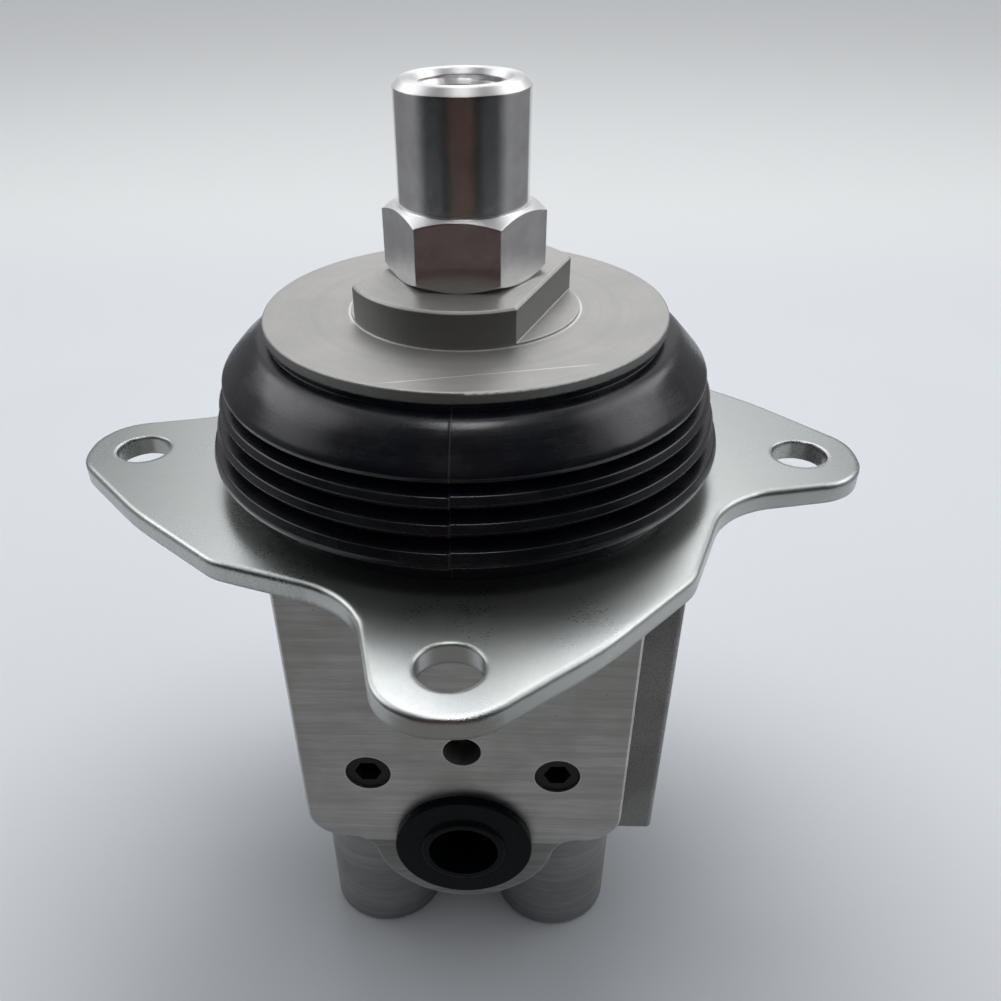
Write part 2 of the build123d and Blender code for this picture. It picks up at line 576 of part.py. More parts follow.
# ---- shipping plugs: flange, stem and a blind pull hole with a turned lip ----
inlets = {
    "pressure_port_cap": Plane(origin=(0, FRONT_Y, INLET_Z), x_dir=(1, 0, 0), z_dir=(0, -1, 0)),
    "tank_port_cap": Plane(origin=(PAD_X, 0, TANK_Z), x_dir=(0, 1, 0), z_dir=(1, 0, 0)),
}
for name, mouth in inlets.items():
    with BuildPart() as cap:
        with BuildSketch(mouth) as flange:
            Circle(CAP_FLANGE_R)
        extrude(amount=CAP_FLANGE_T)
        fillet(cap.edges(), CAP_EDGE)
        with BuildSketch(mouth) as stem:
            Circle(INLET_R - FIT_CLEAR)
        extrude(amount=-CAP_STEM_LEN)
        with BuildSketch(mouth.offset(CAP_FLANGE_T)) as lip:
            Circle(CAP_LIP_R)
        extrude(amount=CAP_LIP_H)
        round_edges = cap.edges().filter_by(GeomType.CIRCLE)
        lip_rims = round_edges.filter_by(lambda e: abs(e.radius - CAP_LIP_R) < 0.01)
        fillet(lip_rims.sort_by_distance(mouth.origin)[-1], CAP_LIP_EDGE)
        with BuildSketch(mouth.offset(CAP_FLANGE_T + CAP_LIP_H)) as pull_hole:
            Circle(CAP_HOLE_R)
        extrude(amount=-CAP_HOLE_DEPTH, mode=Mode.SUBTRACT)
    save(cap, name)

# ---- socket set screws in the mouths of the galleries ----
with BuildPart() as gallery_plugs:
    front = Plane(origin=(0, FRONT_Y + SCREW_PLUG_SINK, TANK_Z), x_dir=(1, 0, 0), z_dir=(0, -1, 0))
    side = left.offset(-SIDE_PLUG_SINK)
    side_len = SIDE_PLUG_DEPTH - SIDE_PLUG_SINK
    for mouth, spread, length in (
        (front, TANK_GALLERY_X, SCREW_PLUG_LEN), (side, BOSS_AT, side_len),
    ):
        with BuildSketch(mouth) as screws:
            with Locations((-spread, 0), (spread, 0)):
                Circle(SCREW_PLUG_R)
        extrude(amount=-length)
        with BuildSketch(mouth) as keys:
            with Locations((-spread, 0), (spread, 0)):
                RegularPolygon(SCREW_PLUG_KEY / 2, 6, major_radius=False)
        extrude(amount=-length / 2, mode=Mode.SUBTRACT)
save(gallery_plugs, "gallery_plugs")

# ---- the column under each plunger, modelled once on the axis ----
with BuildPart() as plunger:
    with BuildSketch(Plane.XZ) as rod_section:
        crown_start = degrees(acos(PLUNGER_R / PLUNGER_TIP_R))
        with BuildLine():
            crown = CenterArc((0, TIP_Z - PLUNGER_TIP_R), PLUNGER_TIP_R, crown_start, 90 - crown_start)
            Polyline(crown @ 1, (0, SEAT_Z + BORE_DEPTH), (PLUNGER_BORE_R, SEAT_Z + BORE_DEPTH),
                     (PLUNGER_BORE_R, SEAT_Z), (PLUNGER_R, SEAT_Z), crown @ 0)
        make_face()
    revolve(axis=Axis.Z)

with BuildPart() as spring_seat:
    with BuildSketch(Plane.XY.offset(SEAT_Z)) as washer:
        Circle(SEAT_R)
        Circle(PLUNGER_BORE_R, mode=Mode.SUBTRACT)
    extrude(amount=-SEAT_T)
    with BuildSketch(Plane.XY.offset(SEAT_Z - SEAT_T)) as spigot:
        Circle(METER_R - METER_WIRE / 2 - FIT_CLEAR)
        Circle(PLUNGER_BORE_R, mode=Mode.SUBTRACT)
    extrude(amount=-SEAT_SPIGOT_H)

with BuildPart() as spool:
    lands = (
        (SPOOL_Z, SPOOL_R), (INLET_Z - SPOOL_NECK_LEN / 2, SPOOL_NECK_R),
        (INLET_Z + SPOOL_NECK_LEN / 2, SPOOL_R), (SPOOL_SHOULDER_Z - SPOOL_HEAD_T, SPOOL_HEAD_R),
        (SPOOL_SHOULDER_Z, STEM_R), (STEM_Z, 0),
    )
    for (low, radius), (high, _) in zip(lands, lands[1:]):
        with BuildSketch(Plane.XY.offset(low)) as land:
            Circle(radius)
        extrude(amount=high - low)
    with BuildSketch(Plane.XY.offset(SPOOL_Z)) as core:
        Circle(SPOOL_CORE_R)
    extrude(amount=INLET_Z + SPOOL_NECK_LEN - SPOOL_Z, mode=Mode.SUBTRACT)
    for heading in (0, 90):
        with BuildSketch(across(heading, 0, INLET_Z + SPOOL_NECK_LEN - 2 * SPOOL_PORT_R)) as port:
            Circle(SPOOL_PORT_R)
        extrude(amount=SPOOL_R + OVERRUN, both=True, mode=Mode.SUBTRACT)


def coil(radius, wire, turns, low, high):
    """A helical spring of square wire between two heights."""
    with BuildPart() as spring:
        rise = high - low - wire
        with BuildLine() as centre_line:
            Helix(pitch=rise / turns, height=rise, radius=radius, center=(0, 0, low + wire / 2))
        with BuildSketch(Plane(origin=centre_line.line @ 0, z_dir=centre_line.line % 0)):
            Rectangle(wire, wire)
        sweep(is_frenet=True)
    return spring


return_spring = coil(RETURN_R, RETURN_WIRE, RETURN_TURNS, CHAMBER_Z, SEAT_Z - SEAT_T)
metering_spring = coil(METER_R, METER_WIRE, METER_TURNS, SPOOL_SHOULDER_Z, SEAT_Z - SEAT_T)

columns = {
    "plunger": plunger, "spring_seat": spring_seat, "spool": spool,
    "return_spring": return_spring, "metering_spring": metering_spring,
}
for number, (x, y) in enumerate(PLACES, 1):
    for name, piece in columns.items():
        with BuildPart() as placed:
            with Locations((x, y, 0)):
                add(piece.part)
        save(placed, f"{name}_{number}")
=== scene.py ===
"""Dresses the hydraulic pilot joystick valve: finishes for its machined and plated parts, the rubber
boot in two halves, cut threads, a pale studio floor, soft light and the camera. Lengths are in
metres, apart from those that are marked as millimetres."""
import bpy
import numpy as np
from mathutils import Matrix, Vector


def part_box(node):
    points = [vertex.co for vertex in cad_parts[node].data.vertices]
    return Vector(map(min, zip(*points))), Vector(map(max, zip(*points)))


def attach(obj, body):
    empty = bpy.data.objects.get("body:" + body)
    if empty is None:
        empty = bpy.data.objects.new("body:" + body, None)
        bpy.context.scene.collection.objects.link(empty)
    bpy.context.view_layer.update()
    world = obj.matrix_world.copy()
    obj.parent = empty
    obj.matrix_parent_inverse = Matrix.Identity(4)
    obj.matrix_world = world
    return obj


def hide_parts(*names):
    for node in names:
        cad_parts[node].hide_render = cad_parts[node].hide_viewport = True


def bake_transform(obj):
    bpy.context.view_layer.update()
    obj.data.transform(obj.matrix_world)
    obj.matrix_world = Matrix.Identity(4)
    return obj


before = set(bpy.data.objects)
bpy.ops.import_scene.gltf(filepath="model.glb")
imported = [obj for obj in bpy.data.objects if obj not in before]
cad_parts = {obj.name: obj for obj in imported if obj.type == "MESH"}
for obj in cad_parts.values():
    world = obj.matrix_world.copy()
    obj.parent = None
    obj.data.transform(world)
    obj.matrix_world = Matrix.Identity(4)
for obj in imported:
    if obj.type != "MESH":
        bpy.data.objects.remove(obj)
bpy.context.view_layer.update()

MM = 0.001
PLATE_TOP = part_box("mounting_plate")[1][2]
NUT_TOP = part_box("coupling_nut")[1][2]
DISC_TOP = 0.1183                     # the disc's wide face, under its boss with two flats
BOSS_AT = 0.017                       # work port bosses from the axis, along X and along Y
CAST_FROM, CAST_FULL = 0.0272, 0.0276           # X where the milled block ends and its as-cast pad begins
TURNED_FROM, TURNED_FULL = 0.0352, 0.0345       # Z below which the port bosses are turned
RING_IN, RING_OUT = (0.01728, 0.01740), (0.01775, 0.01762)      # sides of the painted highlight ring round the boss's foot on the disc
SCRATCH_FROM = (-0.0114, -0.0282, 0.0)          # one end of the hairline scratch on the disc
SCRATCH_TURN, SCRATCH_LONG, SCRATCH_FADE = 0.217, 0.0318, 0.004
SCRATCH_SIDE = (0.00018, 0.00004)               # from its middle line: where it ends and where it is full


# ---------------------------------------------------------------- node trees

def put(tree, kind, inputs=None, **settings):
    """Adds one shader node. An input given as a socket is linked, and anything else is its value."""
    node = tree.nodes.new("ShaderNode" + kind)
    for name, value in settings.items():
        setattr(node, name, value)
    for name, value in (inputs or {}).items():
        socket = node.inputs[name]
        if isinstance(value, bpy.types.NodeSocket):
            tree.links.new(value, socket)
        else:
            socket.default_value = value
    return node


def calc(tree, operation, a, b=0.0, clamp=False):
    """One sum on two values or sockets."""
    return put(tree, "Math", {0: a, 1: b}, operation=operation, use_clamp=clamp).outputs[0]


def spread(tree, value, low, high, to_low=0.0, to_high=1.0, smooth=True):
    """Carries a value from one range to another, held at both ends."""
    return put(tree, "MapRange", {"Value": value, "From Min": low, "From Max": high, "To Min": to_low,
                                  "To Max": to_high},
               interpolation_type="SMOOTHSTEP" if smooth else "LINEAR").outputs[0]


def tint(tree, share, first, second):
    """Mixes two colours by a share."""
    return put(tree, "Mix", {0: share, 6: first, 7: second}, data_type="RGBA").outputs[2]


def effect(name, inputs, outputs):
    """An empty node group with named sockets, its input node's sockets and its output node."""
    tree = bpy.data.node_groups.new(name, "ShaderNodeTree")
    for label, kind, value in inputs:
        socket = tree.interface.new_socket(label, in_out="INPUT", socket_type="NodeSocket" + kind)
        if value is not None:
            socket.default_value = value
    for label, kind in outputs:
        tree.interface.new_socket(label, in_out="OUTPUT", socket_type="NodeSocket" + kind)
    return tree, tree.nodes.new("NodeGroupInput").outputs, tree.nodes.new("NodeGroupOutput").inputs


def use(tree, group, **inputs):
    """Places an effect in a material with its own values, and returns its outputs."""
    node = tree.nodes.new("ShaderNodeGroup")
    node.node_tree = group
    for name, value in inputs.items():
        socket = node.inputs[name.replace("_", " ")]
        if isinstance(value, bpy.types.NodeSocket):
            tree.links.new(value, socket)
        else:
            socket.default_value = value
    return node.outputs


def edge_shine():
    """Mask of a part's sharp edges: how far the rounded normal leans away from the flat one. The finishes mix
    a light colour in along it, as a painted highlight on the edges.
    """
    tree, given, out = effect("edge_shine", [("Radius", "Float", 0.0005), ("Gain", "Float", 4.0)],
                              [("Mask", "Float")])
    soft = put(tree, "Bevel", {"Radius": given["Radius"]}, samples=4).outputs[0]
    flat = tree.nodes.new("ShaderNodeNewGeometry").outputs["Normal"]
    lean = put(tree, "VectorMath", {0: soft, 1: flat}, operation="DOT_PRODUCT").outputs["Value"]
    shine = calc(tree, "MULTIPLY", calc(tree, "SUBTRACT", 1.0, lean), given["Gain"], clamp=True)
    tree.links.new(shine, out["Mask"])
    return tree


def tool_lines():
    """Fine lines left by a cutter: noise drawn out along two axes and packed along the third."""
    tree, given, out = effect("tool_lines", [("Vector", "Vector", None), ("Pitch", "Float", 0.0002),
                                             ("Stretch", "Vector", (0.02, 0.02, 1.0))],
                              [("Height", "Float"), ("Mask", "Float")])
    drawn = put(tree, "VectorMath", {0: given["Vector"], 1: given["Stretch"]},
                operation="MULTIPLY").outputs[0]
    fine = put(tree, "VectorMath", {0: drawn, 3: calc(tree, "DIVIDE", 1.0, given["Pitch"])},
               operation="SCALE").outputs[0]
    near = put(tree, "TexNoise", {"Vector": fine, "Scale": 1.0, "Detail": 3.0, "Roughness": 0.65}).outputs[0]
    wide = put(tree, "TexNoise", {"Vector": fine, "Scale": 0.13, "Detail": 2.0}).outputs[0]
    tree.links.new(near, out["Height"])
    tree.links.new(spread(tree, calc(tree, "ADD", calc(tree, "MULTIPLY", near, 0.5),
                                     calc(tree, "MULTIPLY", wide, 0.5)), 0.38, 0.62), out["Mask"])
    return tree


def mottle():
    """Cloudy patches and a fine crystal grain, as plating and casting have."""
    tree, given, out = effect("mottle", [("Vector", "Vector", None), ("Cloud", "Float", 0.008),
                                         ("Grain", "Float", 0.0004)],
                              [("Cloud", "Float"), ("Grain", "Float")])
    cloud = put(tree, "TexNoise", {
        "Vector": given["Vector"], "Scale": calc(tree, "DIVIDE", 1.0, given["Cloud"]),
        "Detail": 4.0, "Roughness": 0.6}).outputs[0]
    grain = put(tree, "TexNoise", {
        "Vector": given["Vector"], "Scale": calc(tree, "DIVIDE", 1.0, given["Grain"]),
        "Detail": 2.0, "Roughness": 0.7}).outputs[0]
    tree.links.new(spread(tree, cloud, 0.35, 0.65), out["Cloud"])
    tree.links.new(spread(tree, grain, 0.3, 0.7, smooth=False), out["Grain"])
    return tree


def specks():
    """Scattered small round spots, in the share of a grid's cells that Amount gives."""
    tree, given, out = effect("specks", [("Vector", "Vector", None), ("Cell", "Float", 0.003),
                                         ("Size", "Float", 0.1), ("Amount", "Float", 0.3)],
                              [("Mask", "Float")])
    cells = put(tree, "TexVoronoi", {"Vector": given["Vector"],
                                     "Scale": calc(tree, "DIVIDE", 1.0, given["Cell"])})
    pick = put(tree, "SeparateColor", {"Color": cells.outputs["Color"]}).outputs
    chosen = calc(tree, "GREATER_THAN", given["Amount"], pick[0])
    size = calc(tree, "MULTIPLY", given["Size"], calc(tree, "ADD", 0.4, pick[1]))
    spot = calc(tree, "SUBTRACT", 1.0, calc(tree, "DIVIDE", cells.outputs["Distance"], size), clamp=True)
    tree.links.new(calc(tree, "MULTIPLY", chosen, spread(tree, spot, 0.0, 0.4)), out["Mask"])
    return tree


EDGES, LINES, MOTTLE, SPECKS = edge_shine(), tool_lines(), mottle(), specks()


def finish(name, **constants):
    """A new material with its Principled shader. Constants go straight on the shader's own sockets."""
    mat = bpy.data.materials.new(name)
    mat.use_nodes = True
    tree = mat.node_tree
    shader = tree.nodes["Principled BSDF"]
    for label, value in constants.items():
        shader.inputs[label.replace("_", " ")].default_value = value
    place = tree.nodes.new("ShaderNodeTexCoord").outputs
    return mat, tree, shader, place


def wire(tree, shader, height=None, strength=0.2, distance=0.00005, soft=0.0, **sockets):
    """Links colours and values to the shader, and a height through a bump. Its edges look rounded where
    a soft radius is given."""
    for label, value in sockets.items():
        tree.links.new(value, shader.inputs[label.replace("_", " ")])
    if height is not None:
        bump = put(tree, "Bump", {"Strength": strength, "Distance": distance, "Height": height})
        if soft:
            rounding = put(tree, "Bevel", {"Radius": soft}, samples=6)
            tree.links.new(rounding.outputs[0], bump.inputs["Normal"])
        tree.links.new(bump.outputs[0], shader.inputs["Normal"])


def facing_up(tree, low, high):
    """How far a surface faces up, from 0 at a low share of the normal's height to 1 at a high one."""
    normal = tree.nodes.new("ShaderNodeNewGeometry").outputs["Normal"]
    return spread(tree, put(tree, "SeparateXYZ", {0: normal}).outputs["Z"], low, high)


# ---------------------------------------------------------------- finishes

def milled_body():
    """Milled aluminium block, as-cast port pad on its right, turned ports below, and a painted highlight along
    its edges.
    """
    mat, tree, shader, place = finish("milled_body", Metallic=1.0)
    at = put(tree, "SeparateXYZ", {0: place["Object"]}).outputs
    cast = spread(tree, at["X"], CAST_FROM, CAST_FULL)
    port = spread(tree, at["Z"], TURNED_FROM, TURNED_FULL)
    lines = use(tree, LINES, Vector=place["Object"], Pitch=0.00016, Stretch=(0.035, 0.035, 1.0))
    slant = use(tree, LINES, Vector=place["Object"], Pitch=0.0005, Stretch=(0.25, 0.25, 1.0))
    blot = use(tree, MOTTLE, Vector=place["Object"], Cloud=0.011, Grain=0.00035)
    pits = use(tree, SPECKS, Vector=place["Object"], Cell=0.0045, Size=0.05, Amount=0.5)["Mask"]
    edge = use(tree, EDGES, Radius=0.0005, Gain=5.0)["Mask"]
    milled = tint(tree, lines["Mask"], (0.46, 0.455, 0.45, 1), (0.61, 0.605, 0.60, 1))
    milled = tint(tree, calc(tree, "MULTIPLY", blot["Cloud"], 0.45), milled, (0.46, 0.46, 0.445, 1))
    turned = tint(tree, lines["Mask"], (0.25, 0.25, 0.245, 1), (0.33, 0.33, 0.325, 1))
    rough_cast = tint(tree, blot["Grain"], (0.24, 0.24, 0.235, 1), (0.40, 0.40, 0.395, 1))
    colour = tint(tree, port, milled, turned)
    colour = tint(tree, cast, colour, rough_cast)
    colour = tint(tree, calc(tree, "MULTIPLY", pits, 0.8), colour, (0.10, 0.10, 0.10, 1))
    # Painted highlight: the edges are lightened towards near white.
    colour = tint(tree, calc(tree, "MULTIPLY", edge, 0.7), colour, (0.85, 0.85, 0.84, 1))
    dull = spread(tree, blot["Cloud"], 0.0, 1.0, 0.36, 0.50)
    dull = calc(tree, "ADD", dull, calc(tree, "MULTIPLY", cast, 0.14))
    height = calc(tree, "ADD", calc(tree, "MULTIPLY", lines["Height"], 0.7),
                  calc(tree, "MULTIPLY", slant["Height"], 0.5))
    grainy = calc(tree, "MULTIPLY", blot["Grain"], calc(tree, "MULTIPLY", cast, 1.6))
    wire(tree, shader, calc(tree, "ADD", height, grainy), 0.35, 0.00006, Base_Color=colour, Roughness=dull)
    return mat


def zinc_plating(name, base, warm, roughness):
    """Bright zinc on rolled steel: cloudy, finely crystalline, with a painted highlight on its rolled edges
    and painted shade on its upright faces.
    """
    mat, tree, shader, place = finish(name, Metallic=1.0)
    blot = use(tree, MOTTLE, Vector=place["Object"], Cloud=0.014, Grain=0.00022)
    small = use(tree, MOTTLE, Vector=place["Object"], Cloud=0.0016, Grain=0.0006)
    edge = use(tree, EDGES, Radius=0.0007, Gain=2.2)["Mask"]
    colour = tint(tree, blot["Cloud"], base, warm)
    colour = tint(tree, calc(tree, "MULTIPLY", small["Grain"], 0.30), colour, (0.50, 0.52, 0.51, 1))
    # Painted highlight: the rolled edges are lightened towards near white.
    colour = tint(tree, calc(tree, "MULTIPLY", edge, 0.8), colour, (0.93, 0.93, 0.92, 1))
    # Painted shade: faces that stand upright are darkened, standing in for the dark floor they mirror.
    side_shade = calc(tree, "SUBTRACT", 1.0, facing_up(tree, 0.1, 0.3))
    colour = tint(tree, calc(tree, "MULTIPLY", side_shade, 0.8), colour, (0.36, 0.365, 0.35, 1))
    worn = calc(tree, "MULTIPLY", calc(tree, "ADD", small["Grain"], blot["Cloud"]), 0.03)
    dull = calc(tree, "ADD", worn, roughness - 0.03)
    wire(tree, shader, blot["Grain"], 0.04, 0.00002, soft=0.0009, Base_Color=colour, Roughness=dull)
    return mat


def turned_disc():
    """Satin zinc-nickel steel, lathe-turned: very fine rings, one long hairline scratch, a painted highlight
    on its edges and on a ring round the boss's foot, and painted shade on its upright faces.
    """
    mat, tree, shader, place = finish("turned_disc", Metallic=1.0)
    at = put(tree, "SeparateXYZ", {0: place["Object"]}).outputs
    reach = put(tree, "VectorMath", {0: put(tree, "CombineXYZ", {"X": at["X"], "Y": at["Y"]}).outputs[0]},
                operation="LENGTH").outputs["Value"]
    ring = put(tree, "CombineXYZ", {"Z": calc(tree, "ADD", reach, at["Z"])}).outputs[0]
    rings = use(tree, LINES, Vector=ring, Pitch=0.00022)
    blot = use(tree, MOTTLE, Vector=place["Object"], Cloud=0.009, Grain=0.0003)
    dots = use(tree, SPECKS, Vector=place["Object"], Cell=0.006, Size=0.035, Amount=0.35)["Mask"]
    edge = use(tree, EDGES, Radius=0.0004, Gain=2.0)["Mask"]
    ring_highlight = calc(tree, "MULTIPLY", spread(tree, reach, *RING_IN), spread(tree, reach, *RING_OUT))
    along = put(tree, "SeparateXYZ", {0: put(tree, "Mapping", {
        "Vector": place["Object"], "Location": SCRATCH_FROM, "Rotation": (0.0, 0.0, SCRATCH_TURN)},
        vector_type="TEXTURE").outputs[0]}).outputs
    width = spread(tree, calc(tree, "ABSOLUTE", along["Y"]), *SCRATCH_SIDE)
    length = calc(tree, "MULTIPLY", spread(tree, along["X"], 0.0, SCRATCH_FADE),
                  spread(tree, along["X"], SCRATCH_LONG, SCRATCH_LONG - SCRATCH_FADE))
    top = calc(tree, "GREATER_THAN", at["Z"], DISC_TOP - 0.0002)
    low = calc(tree, "GREATER_THAN", DISC_TOP + 0.0006, at["Z"])
    scratch = calc(tree, "MULTIPLY", calc(tree, "MULTIPLY", width, length), top)
    upright = calc(tree, "SUBTRACT", 1.0, facing_up(tree, 0.15, 0.35))
    colour = tint(tree, rings["Mask"], (0.465, 0.46, 0.445, 1), (0.51, 0.505, 0.485, 1))
    colour = tint(tree, calc(tree, "MULTIPLY", blot["Cloud"], 0.5), colour, (0.425, 0.42, 0.41, 1))
    # Painted shade: faces that stand upright are darkened.
    colour = tint(tree, upright, colour, (0.27, 0.275, 0.265, 1))
    # Painted highlight: a bright ring round the foot of the boss, just above the disc's top.
    colour = tint(tree, calc(tree, "MULTIPLY", calc(tree, "MULTIPLY", ring_highlight, low), 0.8), colour,
                  (0.86, 0.85, 0.83, 1))
    # Painted highlight: the edges are lightened towards near white.
    colour = tint(tree, edge, colour, (0.90, 0.89, 0.87, 1))
    colour = tint(tree, calc(tree, "MULTIPLY", scratch, 0.7), colour, (0.85, 0.84, 0.82, 1))
    colour = tint(tree, calc(tree, "MULTIPLY", dots, 0.6), colour, (0.15, 0.14, 0.13, 1))
    dull = spread(tree, blot["Grain"], 0.0, 1.0, 0.49, 0.58)
    height = calc(tree, "ADD", calc(tree, "MULTIPLY", rings["Height"], 0.4),
                  calc(tree, "MULTIPLY", blot["Grain"], 0.4))
    wire(tree, shader, height, 0.14, 0.00004, soft=0.0003, Base_Color=colour, Roughness=dull)
    return mat


def bright_nut():
    """Bright zinc on a turned and milled steel nut. The turning draws its reflections out upright. Its edges
    and its faces that look up carry a painted highlight.
    """
    mat, tree, shader, place = finish("bright_nut", Metallic=1.0, Anisotropic=0.75, Anisotropic_Rotation=0.25)
    round_axis = put(tree, "Tangent", direction_type="RADIAL", axis="Z")
    tree.links.new(round_axis.outputs[0], shader.inputs["Tangent"])
    lines = use(tree, LINES, Vector=place["Object"], Pitch=0.00012, Stretch=(0.05, 0.05, 1.0))
    blot = use(tree, MOTTLE, Vector=place["Object"], Cloud=0.004, Grain=0.0002)
    edge = use(tree, EDGES, Radius=0.0004, Gain=4.0)["Mask"]
    dots = use(tree, SPECKS, Vector=place["Object"], Cell=0.0022, Size=0.05, Amount=0.4)["Mask"]
    colour = tint(tree, blot["Cloud"], (0.70, 0.70, 0.715, 1), (0.80, 0.80, 0.81, 1))
    colour = tint(tree, calc(tree, "MULTIPLY", dots, 0.5), colour, (0.25, 0.25, 0.26, 1))
    up = facing_up(tree, 0.15, 0.4)
    # Painted highlight: edges and faces that look up are lightened towards white.
    colour = tint(tree, calc(tree, "MAXIMUM", edge, up), colour, (0.95, 0.95, 0.95, 1))
    dull = calc(tree, "ADD", spread(tree, blot["Grain"], 0.0, 1.0, 0.18, 0.24),
                calc(tree, "MULTIPLY", up, 0.30))
    height = calc(tree, "ADD", calc(tree, "MULTIPLY", lines["Height"], 0.3),
                  calc(tree, "MULTIPLY", blot["Grain"], 0.25))
    wire(tree, shader, height, 0.22, 0.00003, soft=0.0004, Base_Color=colour, Roughness=dull)
    return mat


def boot_rubber():
    """Moulded black rubber: a soft shine, faint draw marks round it, a pale seam and a few dust specks."""
    mat, tree, shader, place = finish("boot_rubber", Specular_IOR_Level=0.58)
    skin = place["UV"]
    across = put(tree, "SeparateXYZ", {0: skin}).outputs["X"]
    seam = spread(tree, calc(tree, "ABSOLUTE", across), 0.00022, 0.00006)
    drawn = use(tree, LINES, Vector=skin, Pitch=0.00045, Stretch=(0.05, 1.0, 1.0))
    blot = use(tree, MOTTLE, Vector=skin, Cloud=0.009, Grain=0.0003)
    dust = use(tree, SPECKS, Vector=skin, Cell=0.009, Size=0.04, Amount=0.25)["Mask"]
    colour = tint(tree, calc(tree, "MULTIPLY", blot["Cloud"], drawn["Mask"]), (0.0030, 0.0035, 0.0055, 1),
                  (0.0065, 0.0075, 0.0115, 1))
    colour = tint(tree, calc(tree, "MULTIPLY", seam, 0.3), colour, (0.05, 0.05, 0.055, 1))
    colour = tint(tree, calc(tree, "MULTIPLY", dust, 0.5), colour, (0.45, 0.45, 0.46, 1))
    dull = spread(tree, blot["Cloud"], 0.0, 1.0, 0.20, 0.28)
    dull = calc(tree, "ADD", dull, calc(tree, "MULTIPLY", drawn["Mask"], 0.05))
    height = calc(tree, "ADD", calc(tree, "MULTIPLY", drawn["Height"], 0.6),
                  calc(tree, "MULTIPLY", blot["Grain"], 0.2))
    wire(tree, shader, height, 0.30, 0.00005, Base_Color=colour, Roughness=dull)
    return mat


def plain_finish(name, base, roughness, metallic=1.0, edge_highlight=0.4, shine=0.5):
    """A small part's finish: one colour gently clouded, fine lines, and a painted highlight that lightens its
    edges.
    """
    mat, tree, shader, place = finish(name, Metallic=metallic, Specular_IOR_Level=shine)
    blot = use(tree, MOTTLE, Vector=place["Object"], Cloud=0.003, Grain=0.0003)
    lines = use(tree, LINES, Vector=place["Object"], Pitch=0.0002, Stretch=(0.1, 0.1, 1.0))
    edge = use(tree, EDGES, Radius=0.0003, Gain=3.0)["Mask"]
    dark = tuple(c * 0.72 for c in base[:3]) + (1,)
    light = tuple(min(1.0, c * 1.5 + 0.02) for c in base[:3]) + (1,)
    colour = tint(tree, blot["Cloud"], base, dark)
    # Painted highlight: the edges are lightened towards a paler copy of the colour.
    colour = tint(tree, calc(tree, "MULTIPLY", edge, edge_highlight), colour, light)
    dull = spread(tree, blot["Grain"], 0.0, 1.0, roughness - 0.05, roughness + 0.07)
    wire(tree, shader, calc(tree, "ADD", lines["Height"], blot["Grain"]), 0.15, 0.00004,
         Base_Color=colour, Roughness=dull)
    return mat


FINISHES = {
    "body_aluminium": milled_body(),
    "zinc_plate": zinc_plating("zinc_plating", (0.66, 0.695, 0.68, 1), (0.61, 0.64, 0.615, 1), 0.29),
    "turned_steel": turned_disc(),
    "bright_nut": bright_nut(),
    "black_screws": plain_finish("black_screws", (0.006, 0.006, 0.007, 1), 0.38, metallic=0.0, shine=0.3),
    "boot_rubber": boot_rubber(),
    "seal_rubber": plain_finish("seal_rubber", (0.015, 0.015, 0.016, 1), 0.5, metallic=0.0),
    # The cap's edges get a strong painted highlight.
    "cap_plastic": plain_finish("cap_plastic", (0.002, 0.003, 0.004, 1), 0.30, metallic=0.0, edge_highlight=0.8,
                                shine=0.12),
    "spring_steel": plain_finish("spring_steel", (0.42, 0.41, 0.40, 1), 0.30),
    "brass_guides": plain_finish("brass_guides", (0.62, 0.45, 0.20, 1), 0.32),
    "ground_steel": plain_finish("ground_steel", (0.55, 0.55, 0.56, 1), 0.22),
}
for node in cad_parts.values():
    for held in node.material_slots:
        held.material = FINISHES[held.material.name.split(".")[0]]


# ---------------------------------------------------------------- surfaces

def sheet(name, points, skin):
    """A closed mesh from a grid of points: rows run round the piece, columns run round its section, and
    both join up."""
    rows, columns = points.shape[:2]
    i, j = np.meshgrid(np.arange(rows), np.arange(columns), indexing="ij")
    k, n = (i + 1) % rows, (j + 1) % columns
    quads = np.stack([i * columns + j, k * columns + j, k * columns + n, i * columns + n], -1)
    mesh = bpy.data.meshes.new(name)
    mesh.from_pydata(points.reshape(-1, 3).tolist(), [], quads.reshape(-1, 4).tolist())
    uv = mesh.uv_layers.new(name="skin")
    across, along = skin
    corner_u = np.stack([across[i], across[i + 1], across[i + 1], across[i]], -1)
    corner_v = np.stack([along[j], along[j], along[j + 1], along[j + 1]], -1)
    uv.data.foreach_set("uv", np.stack([corner_u, corner_v], -1).astype(np.float32).ravel())
    mesh.shade_smooth()
    piece = bpy.data.objects.new(name, mesh)
    bpy.context.scene.collection.objects.link(piece)
    return piece


def rounded(corners, cut, steps=6):
    """A closed outline with each corner turned into a curve: a weighted mean of the points a cut before
    the corner, the corner itself and a cut after it, with weights (1-t)^2, 2t(1-t) and t^2. A cut takes
    less than half of a side."""
    cut = cut[:, None]
    back, ahead = np.roll(corners, 1, 0) - corners, np.roll(corners, -1, 0) - corners
    back_long = np.linalg.norm(back, axis=1)[:, None]
    ahead_long = np.linalg.norm(ahead, axis=1)[:, None]
    first = corners + back / back_long * np.minimum(cut, back_long * 0.48)
    last = corners + ahead / ahead_long * np.minimum(cut, ahead_long * 0.48)
    t = np.linspace(0, 1, steps)[None, :, None]
    curve = (1 - t) ** 2 * first[:, None] + 2 * t * (1 - t) * corners[:, None] + t ** 2 * last[:, None]
    return curve.reshape(-1, 2)


